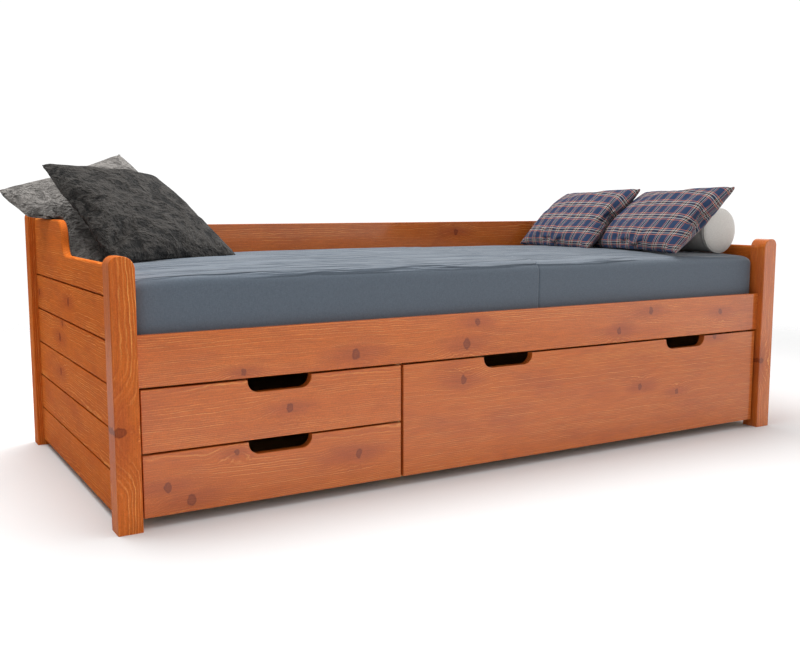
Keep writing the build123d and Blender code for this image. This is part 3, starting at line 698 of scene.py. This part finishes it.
def mattress_surface():
    """A rounded box with a crowned top: the box's shell is moved in to round edges, lifted by
    (1 - x^2.2) (1 - y^2.2), sunk at the corners by x^10 y^4, pressed out by low folds along the
    length, stepped at the cover's lap, and cut back where the posts stand."""
    low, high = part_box("mattress")
    half = np.array(high - low) / 2
    middle = np.array(high + low) / 2
    lap = 120 * MM
    cell = 9 * MM
    step_x = np.linspace(-1, 1, int(2 * half[0] / cell))
    edges = (lap + np.array([-2, -0.2, 0.2, 3, 5]) * MM) / half[0]
    step_x = np.unique(np.concatenate([step_x, edges]))
    step_y = np.linspace(-1, 1, int(2 * half[1] / cell))
    step_z = np.linspace(-1, 1, int(2 * half[2] / cell))
    unit, quads = box_lattice(step_x, step_y, step_z)
    side_top = half[2] - 6 * MM
    points = unit * np.array([half[0], half[1], side_top])

    # Plan corners: the square shell becomes a round one
    corner = 45 * MM
    inner = np.clip(points[:, :2], -half[:2] + corner, half[:2] - corner)
    offset = points[:, :2] - inner
    span = np.linalg.norm(offset, axis=1)
    square = np.abs(offset).max(1)
    scale = np.where(span > 0, square / np.maximum(span, 1e-9), 1)
    offset *= scale[:, None]
    points[:, :2] = inner + offset
    outward = np.zeros_like(points)
    reach = np.linalg.norm(offset, axis=1)
    outward[:, :2] = offset / np.maximum(reach, 1e-9)[:, None]

    # Long edges: the same in the upright plane
    edge = 28 * MM
    sideways = np.clip(reach - corner + edge, 0, edge)
    upward = np.clip(np.abs(points[:, 2]) - side_top + edge, 0, edge)
    shell = np.maximum(sideways, upward)
    round_scale = shell / np.maximum(np.hypot(sideways, upward), 1e-9)
    round_scale = np.where(shell > 0, round_scale, 1)
    points[:, :2] -= outward[:, :2] * (sideways * (1 - round_scale))[:, None]
    sign = np.sign(points[:, 2])
    points[:, 2] -= sign * upward * (1 - round_scale)
    slope = np.stack([outward[:, 0] * sideways, outward[:, 1] * sideways, sign * upward], -1)
    normal = slope / np.maximum(np.linalg.norm(slope, axis=1), 1e-9)[:, None]

    # Crown, folds and lap
    x, y = points[:, 0] / half[0], points[:, 1] / half[1]
    is_top = np.clip(points[:, 2] / side_top, 0, 1) ** 2
    crown = (1 - np.abs(x) ** 2.2) * (1 - np.abs(y) ** 2.2)
    points[:, 2] += is_top * (18 * MM * crown - 6 * MM - 12 * MM * np.abs(x) ** 10 * y ** 4)
    points += normal * (fold_height(points) * is_top)[:, None]
    over = np.where(points[:, 0] < lap, 2.4 * MM, 0)
    over -= np.where((points[:, 0] > lap) & (points[:, 0] < lap + 4 * MM), 1.5 * MM, 0)
    visible = np.clip(1 + normal[:, 2] * 2, 0, 1)
    points += normal * (over * visible)[:, None]

    # The posts' corners press notches into the soft corners
    clear = half[:2] - POST_NOTCH
    beyond = np.abs(points[:, :2]) - clear
    in_notch = (beyond > 0).all(1)
    for axis in (0, 1):
        nearer = in_notch & (beyond[:, axis] <= beyond[:, 1 - axis])
        points[nearer, axis] = np.sign(points[nearer, axis]) * clear[axis]
    return points + middle, quads


def fold_height(points):
    """Low folds that run along the mattress: narrow bell curves across, long bell curves along,
    thickest and closest near the left end's front."""
    random = np.random.default_rng(7)
    height = np.zeros(len(points))
    for index in range(70):
        crowded = index < 30
        centre_x = random.uniform(-0.98, -0.6) if crowded else random.uniform(-0.9, 0.75)
        centre_y = random.uniform(-0.44, -0.2) if crowded else random.uniform(-0.42, 0.38)
        length = random.uniform(0.06, 0.2) if crowded else random.uniform(0.12, 0.4)
        width = random.uniform(7, 12) * MM
        slant = random.uniform(-0.08, 0.08)
        rise = random.uniform(0.8, 2.4) * MM
        along = (points[:, 0] - centre_x) / length
        across = (points[:, 1] - centre_y - slant * (points[:, 0] - centre_x)) / width
        height += rise * np.exp(-along ** 2 - across ** 2)
    return np.minimum(height, 4 * MM)


def bolster_surface():
    """A profile carried round the bolster's axis: domed ends with two half-round piping rings
    each, and a body that narrows a little there and is slack by a product of two sines."""
    low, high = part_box("bolster")
    length = high.y - low.y
    radius = (high.x - low.x) / 2 - 2 * MM
    rim = length / 2 - 7 * MM
    dome = np.linspace(0, 1, 16)[1:]
    cap_r = radius * np.sin(dome * np.pi / 2) * 0.97
    cap_y = rim + 7 * MM * np.cos(dome * np.pi / 2)
    ring = np.linspace(-0.5, 0.5, 9) * np.pi
    piping_r = np.tile(radius + 2 * MM * np.cos(ring), 2)
    piping_y = np.concatenate([rim - 2 * MM - 2.4 * MM * np.sin(ring),
                               rim - 9 * MM - 2.4 * MM * np.sin(ring)])
    body_y = np.linspace(rim - 15 * MM, 0, 60)
    body_r = radius * (1 - 0.02 * np.exp(-((body_y - rim) / (20 * MM)) ** 2))
    half_r = np.concatenate([cap_r, piping_r, body_r])
    half_y = np.concatenate([cap_y, piping_y, body_y])
    profile_r = np.concatenate([half_r, half_r[-2::-1]])
    profile_y = np.concatenate([half_y, -half_y[-2::-1]])
    turns = 96
    angle = np.arange(turns) * 2 * np.pi / turns
    slack = 1 + 0.006 * np.sin(angle * 7 + 1)[None, :] * np.sin(profile_y * 23)[:, None]
    r = profile_r[:, None] * slack
    y = profile_y[:, None]
    x = r * np.cos(angle)[None, :]
    z = r * np.sin(angle)[None, :]
    points = np.stack([x, np.broadcast_to(y, x.shape), z], -1).reshape(-1, 3)
    rows = len(profile_r)
    index = np.arange(rows * turns).reshape(rows, turns)
    after = np.roll(index, -1, axis=1)
    quads = np.stack([index[:-1], after[:-1], after[1:], index[1:]], -1).reshape(-1, 4)
    poles = np.array([[0, half_y[0] + 0.3 * MM, 0], [0, -half_y[0] - 0.3 * MM, 0]])
    first = rows * turns
    fans = [np.stack([np.full(turns, first), after[0], index[0]], -1),
            np.stack([np.full(turns, first + 1), index[-1], after[-1]], -1)]
    middle = np.array(low + high) / 2
    return np.concatenate([points, poles]) + middle, quads, np.concatenate(fans)


# Sizes and colours that a user would change
class BedSizes(bpy.types.PropertyGroup):
    plaid_width: FloatProperty(name="Plaid cushion width", default=0.45, unit="LENGTH",
                               description="Corner to corner along the bed's width")
    plaid_height: FloatProperty(name="Plaid cushion height", default=0.285, unit="LENGTH",
                                description="Corner to corner up the slope")
    dark_side: FloatProperty(name="Charcoal cushion side", default=0.405, unit="LENGTH",
                             description="Corner to corner along an edge")
    light_side: FloatProperty(name="Light cushion side", default=0.42, unit="LENGTH",
                              description="Corner to corner along an edge")
    key_power: FloatProperty(name="Key light", default=216.0, unit="POWER",
                             description="Power of the large soft light above the bed")
    fill_power: FloatProperty(name="Fill light", default=12.0, unit="POWER",
                              description="Power of the soft light in front of the bed")


class BedColours(bpy.types.PropertyGroup):
    early_wood: FloatVectorProperty(name="Early wood", subtype="COLOR", size=4,
                                    default=linear("#C16222"), description="Stained early wood")
    # Late wood: the pale lines' own tone, which also paints the highlight on their proud ridges
    late_wood_and_highlight: FloatVectorProperty(name="Late wood", subtype="COLOR", size=4,
                                   default=linear("#E2964E"),
                                   description="The worn lines that stand proud")
    sheet: FloatVectorProperty(name="Sheet", subtype="COLOR", size=4,
                               default=linear("#5B6672"), description="The mattress's cover")
    # Charcoal and light grey: the velvets' own tones darkened as painted shade; the paler painted
    # highlights of the ridges are given where the grey cushions are made
    charcoal: FloatVectorProperty(name="Charcoal", subtype="COLOR", size=4,
                                  default=linear("#080808"), description="The dark velvet")
    light_grey: FloatVectorProperty(name="Light grey", subtype="COLOR", size=4,
                                    default=linear("#4A4744"), description="The light velvet")
    plaid_ground: FloatVectorProperty(name="Plaid ground", subtype="COLOR", size=4,
                                      default=linear("#22344F"), description="The plaid's navy")


def grain_of(node):
    """The axis that a wooden piece's grain runs along."""
    if node.startswith("post"):
        return "Z"
    is_end = node.startswith("end")
    is_cross = "side" in node or "muntin" in node or node.startswith(("slats", "runner", "divider"))
    return "Y" if is_end or is_cross else "X"


def dress(node, material):
    """Gives a CAD node a material."""
    slots = frame["nodes"][node].data.materials
    slots.clear()
    slots.append(material)


def nodes_in(slot):
    """The CAD nodes that the record gives a material slot."""
    return [part["node"] for part in frame["record"]["subparts"] if part["material_slot"] == slot]


class BED_OT_stained_pine(bpy.types.Operator):
    """Stains and lacquers the posts, boards, rail and drawer fronts"""
    bl_idname = "bed.stained_pine"
    bl_label = "Stained pine"

    def execute(self, context):
        colours = context.scene.bed_colours
        # The second tone gives the pale lines and their painted highlight; the third is the
        # soaked-in stain and the painted shade in the recess before each pale line
        tones = (tuple(colours.early_wood), tuple(colours.late_wood_and_highlight), linear("#A04A24"),
                 linear("#6A2A14"))
        for node in nodes_in("stained_pine"):
            finish = BRIGHT_LACQUER
            if node.startswith(("end", "post_rear")):
                finish = DULL_LACQUER
            elif node == "post_front_left":
                finish = SATIN_LACQUER
            material = pine("lacquered_pine_" + node, node, grain_of(node), KNOTS.get(node, ()),
                            tones, finish)
            dress(node, material)
        return {"FINISHED"}


class BED_OT_bare_wood(bpy.types.Operator):
    """Gives the hidden pieces bare pine, plywood, zinc and tape"""
    bl_idname = "bed.bare_wood"
    bl_label = "Bare wood and fittings"

    def execute(self, context):
        # In each set the second tone gives the pale lines and their painted highlight, and the
        # third the soaked-in tone and the painted shade in the recess before each
        bare = (linear("#D9B987"), linear("#BE9460"), linear("#CBA571"), linear("#8A5A36"))
        ply = (linear("#D2B283"), linear("#BF9A68"), linear("#C8A676"), linear("#9A6B42"))
        for slot, tones in (("raw_pine", bare), ("plywood", ply)):
            for node in nodes_in(slot):
                material = pine(slot + "_" + node, node, grain_of(node), (), tones, BARE_WOOD)
                dress(node, material)
        fittings = zinc("zinc_plated_steel")
        for node in nodes_in("zinc_fittings"):
            dress(node, fittings)
        tape = woven("woven_tape", linear("#DEDCD3"), linear("#BDB9AC"), thread=2.0, sheen=0.1,
                     bump_share=0.5)
        for node in nodes_in("strap_webbing"):
            dress(node, tape)
        return {"FINISHED"}


class BED_OT_mattress(bpy.types.Operator):
    """Makes the mattress in its blue-grey fitted sheet"""
    bl_idname = "bed.mattress"
    bl_label = "Mattress"

    def execute(self, context):
        thing = make_mesh("mattress_in_sheet", *mattress_surface())
        light = tuple(context.scene.bed_colours.sheet)
        # The dark thread tone also paints the shade in the creases of the top
        dark = tuple(value * 0.72 for value in light[:3]) + (1.0,)
        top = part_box("mattress")[1].z - 12 * MM
        cloth = woven("cotton_sheet", light, dark, thread=1.6, sheen=0.3, bump_share=0.3,
                      creased_above=top)
        finish_piece(thing, cloth, "frame", "mattress")
        return {"FINISHED"}


class BED_OT_bolster(bpy.types.Operator):
    """Makes the white bolster with its piped ends"""
    bl_idname = "bed.bolster"
    bl_label = "Bolster"

    def execute(self, context):
        thing = make_mesh("bolster_roll", *bolster_surface())
        cloth = woven("white_cotton", linear("#DCD9D3"), linear("#CDC9C3"), thread=2.0, sheen=0.1,
                      bump_share=0.3)
        finish_piece(thing, cloth, "frame", "bolster")
        return {"FINISHED"}


class BED_OT_plaid_cushions(bpy.types.Operator):
    """Makes the two plaid cushions that lean on the bolster"""
    bl_idname = "bed.plaid_cushions"
    bl_label = "Plaid cushions"

    def execute(self, context):
        sizes = context.scene.bed_sizes
        cloth = plaid("yarn_dyed_plaid", tuple(context.scene.bed_colours.plaid_ground),
                      (linear("#D07C54"), linear("#BDBAB0"), linear("#0E131C")))
        size = (sizes.plaid_width, sizes.plaid_height, PLAID_THICKNESS)
        for seed, (node, pose) in enumerate(PLAID_POSES.items()):
            thing, u, v = cushion(node + "_filled", size, draw=0.010, steps=48,
                                  crumple=(0.11, 0.008), shares=((0.4, 0.4), (0.4, 0.95)),
                                  seed=seed)
            points = put_at(turned(read_points(thing), pose), node) + np.array(PLAID_SHIFTS[node])
            points[:, 2] -= PLAID_SLUMP * (1 - u) / 2 * ((1 + v) / 2) ** 2
            write_points(thing, kept_above_mattress(points))
            finish_piece(thing, cloth, "frame", node)
        return {"FINISHED"}


class BED_OT_grey_cushions(bpy.types.Operator):
    """Makes the charcoal cushion and the light grey one behind it"""
    bl_idname = "bed.grey_cushions"
    bl_label = "Grey cushions"

    def execute(self, context):
        sizes, colours = context.scene.bed_sizes, context.scene.bed_colours
        # Each velvet: its own tone darkened as painted shade, and a paler painted highlight along
        # the ridges
        dark = crushed_velvet("charcoal_velvet", tuple(colours.charcoal), linear("#3A3734"),
                              sheen=0.02)
        light = crushed_velvet("light_grey_velvet", tuple(colours.light_grey), linear("#7E7A76"),
                               sheen=0.1)
        side = sizes.dark_side
        thing, u, v = cushion("charcoal_cushion", (side, side, DARK_THICKNESS), draw=0.014,
                              steps=56, crumple=(0.09, 0.008), shares=((0.7, 0.6), (0.85, 0.9)),
                              seed=11)
        slump = ((1 + u) / 2) ** 2 * (1 + v) / 2
        points = read_points(thing) + slump[:, None] * np.array(DARK_SLUMP)
        points = furrow(points, start=(-0.5 * side, -0.42 * side), end=(-0.2 * side, -0.22 * side),
                        width=12 * MM, depth=20 * MM)
        front_points = put_at(turned(points, DARK_POSE), "cushion_grey_dark")
        front_points = kept_above_mattress(front_points)
        write_points(thing, front_points)
        finish_piece(thing, dark, "frame", "cushion_grey_dark")

        side = sizes.light_side
        thing, u, v = cushion("light_grey_cushion", (side, side, LIGHT_THICKNESS), draw=0.012,
                              steps=56, crumple=(0.08, 0.006), shares=((0.3, 0.9), (0.3, 0.9)),
                              seed=12)
        points = turned(read_points(thing), LIGHT_POSE) + np.array(LIGHT_MIDDLE)
        points = draped(points, u, v, LIGHT_MIDDLE, LIGHT_POSE, side, LIGHT_THICKNESS)
        points = pulled(points, spot=(-0.95, 0.08, 0.57), move=(-0.045, -0.03, 0), reach=0.1)

        # What hangs inside the end stays clear of its board
        beside = (points[:, 2] < END_BOARD_TOP) & (points[:, 0] < END_BOARD_X + 30 * MM)
        inner_face = END_BOARD_X + 12 * MM
        points[:, 0] = np.where(beside, np.maximum(points[:, 0], inner_face), points[:, 0])
        write_points(thing, kept_behind(points, front_points, DARK_POSE, 1 * MM))
        finish_piece(thing, light, "frame", "cushion_grey_light")
        return {"FINISHED"}


class BED_OT_stage(bpy.types.Operator):
    """Makes the pale floor, the soft light and the camera"""
    bl_idname = "bed.stage"
    bl_label = "Stage"

    def execute(self, context):
        scene = context.scene
        scene.view_settings.view_transform = "Standard"
        self.lay_floor()
        self.light_sky(scene)
        self.add_light("key", place=(-0.6, 0.8, 3.4), size=(4.0, 3.0),
                       power=scene.bed_sizes.key_power)
        self.add_light("fill", place=(-0.6, -3.6, 1.3), size=(3.0, 2.0),
                       power=scene.bed_sizes.fill_power)
        self.add_camera(scene)
        return {"FINISHED"}

    def lay_floor(self):
        """A plain pale floor, whose edge fades into the white background."""
        turns = np.arange(96) * 2 * np.pi / 96
        rim = np.stack([np.cos(turns), np.sin(turns), 0 * turns], -1) * FLOOR_FADE[1]
        index = np.arange(96)
        fan = np.stack([index, np.roll(index, -1), np.full(96, 96)], -1)
        floor = make_mesh("floor", np.concatenate([rim, [[0, 0, 0]]]), fan)
        material, tree, shader = new_material("pale_floor")
        place = add(tree, "ShaderNodeTexCoord").outputs["Object"]
        distance = add(tree, "ShaderNodeVectorMath", {0: place}, operation="LENGTH")
        solid = add(tree, "ShaderNodeMapRange",
                    {"Value": distance.outputs["Value"], "From Min": FLOOR_FADE[0],
                     "From Max": FLOOR_FADE[1], "To Min": 1, "To Max": 0},
                    interpolation_type="SMOOTHSTEP")
        fill_inputs(shader, {"Base Color": grey(FLOOR_WHITE), "Alpha": solid, "Roughness": 0.9,
                             "Specular IOR Level": 0.1})
        floor.data.materials.append(material)

    def light_sky(self, scene):
        """A room that glows from the window's side: plain white to the camera alone."""
        world = bpy.data.worlds.new("white_room")
        scene.world = world
        world.use_nodes = True
        tree = world.node_tree
        tree.nodes.clear()
        direction = add(tree, "ShaderNodeTexCoord").outputs["Generated"]
        window = Vector(WINDOW_DIRECTION).normalized()
        toward = add(tree, "ShaderNodeVectorMath", {0: direction, 1: tuple(window)},
                     operation="DOT_PRODUCT")
        glow = add(tree, "ShaderNodeMapRange",
                   {"Value": toward.outputs["Value"], "From Min": 0.2, "From Max": 0.95,
                    "To Min": ROOM_SHADE, "To Max": WINDOW_GLOW})
        seen = add(tree, "ShaderNodeLightPath")
        power = add(tree, "ShaderNodeMix", {0: seen.outputs["Is Camera Ray"], 2: glow, 3: 1.05},
                    data_type="FLOAT")
        sky = add(tree, "ShaderNodeBackground", {"Color": grey(1.0), "Strength": power})
        add(tree, "ShaderNodeOutputWorld", {"Surface": sky})

    def add_light(self, name, place, size, power):
        """A large soft light that faces the bed and doesn't mirror in the lacquer."""
        data = bpy.data.lights.new(name, "AREA")
        data.shape = "RECTANGLE"
        data.size, data.size_y = size
        data.energy = power
        light = bpy.data.objects.new(name, data)
        light.location = place
        aim = Vector((0, 0, 0.3)) - light.location
        light.rotation_euler = aim.to_track_quat("-Z", "Y").to_euler()
        light.visible_glossy = False
        bpy.context.scene.collection.objects.link(light)

    def add_camera(self, scene):
        """The photograph's camera, aimed by its yaw from +Y to +X and its pitch."""
        yaw, pitch = np.radians(CAMERA_YAW), np.radians(CAMERA_PITCH)
        aim = Vector((np.sin(yaw) * np.cos(pitch), np.cos(yaw) * np.cos(pitch), np.sin(pitch)))
        data = bpy.data.cameras.new("camera")
        data.lens = CAMERA_LENS
        data.sensor_width = 36
        camera = bpy.data.objects.new("camera", data)
        camera.location = CAMERA_PLACE
        camera.rotation_euler = aim.to_track_quat("-Z", "Y").to_euler()
        scene.collection.objects.link(camera)
        scene.camera = camera


OPERATORS = (BED_OT_stained_pine, BED_OT_bare_wood, BED_OT_mattress, BED_OT_bolster,
             BED_OT_plaid_cushions, BED_OT_grey_cushions, BED_OT_stage)


class BED_PT_panel(bpy.types.Panel):
    bl_label = "Storage bed"
    bl_idname = "BED_PT_panel"
    bl_space_type = "VIEW_3D"
    bl_region_type = "UI"
    bl_category = "Storage bed"

    def draw(self, context):
        for operator in OPERATORS:
            self.layout.operator(operator.bl_idname)
        for group in (context.scene.bed_sizes, context.scene.bed_colours):
            for name in group.bl_rna.properties.keys():
                if name not in ("rna_type", "name"):
                    self.layout.prop(group, name)


def register():
    for item in (BedSizes, BedColours, *OPERATORS, BED_PT_panel):
        bpy.utils.register_class(item)
    bpy.types.Scene.bed_sizes = PointerProperty(type=BedSizes)
    bpy.types.Scene.bed_colours = PointerProperty(type=BedColours)


def unregister():
    del bpy.types.Scene.bed_colours
    del bpy.types.Scene.bed_sizes
    for item in (BED_PT_panel, *reversed(OPERATORS), BedColours, BedSizes):
        bpy.utils.unregister_class(item)


def main():
    register()
    for operator in OPERATORS:
        section, name = operator.bl_idname.split(".")
        getattr(getattr(bpy.ops, section), name)()


if __name__ == "__main__":
    main()
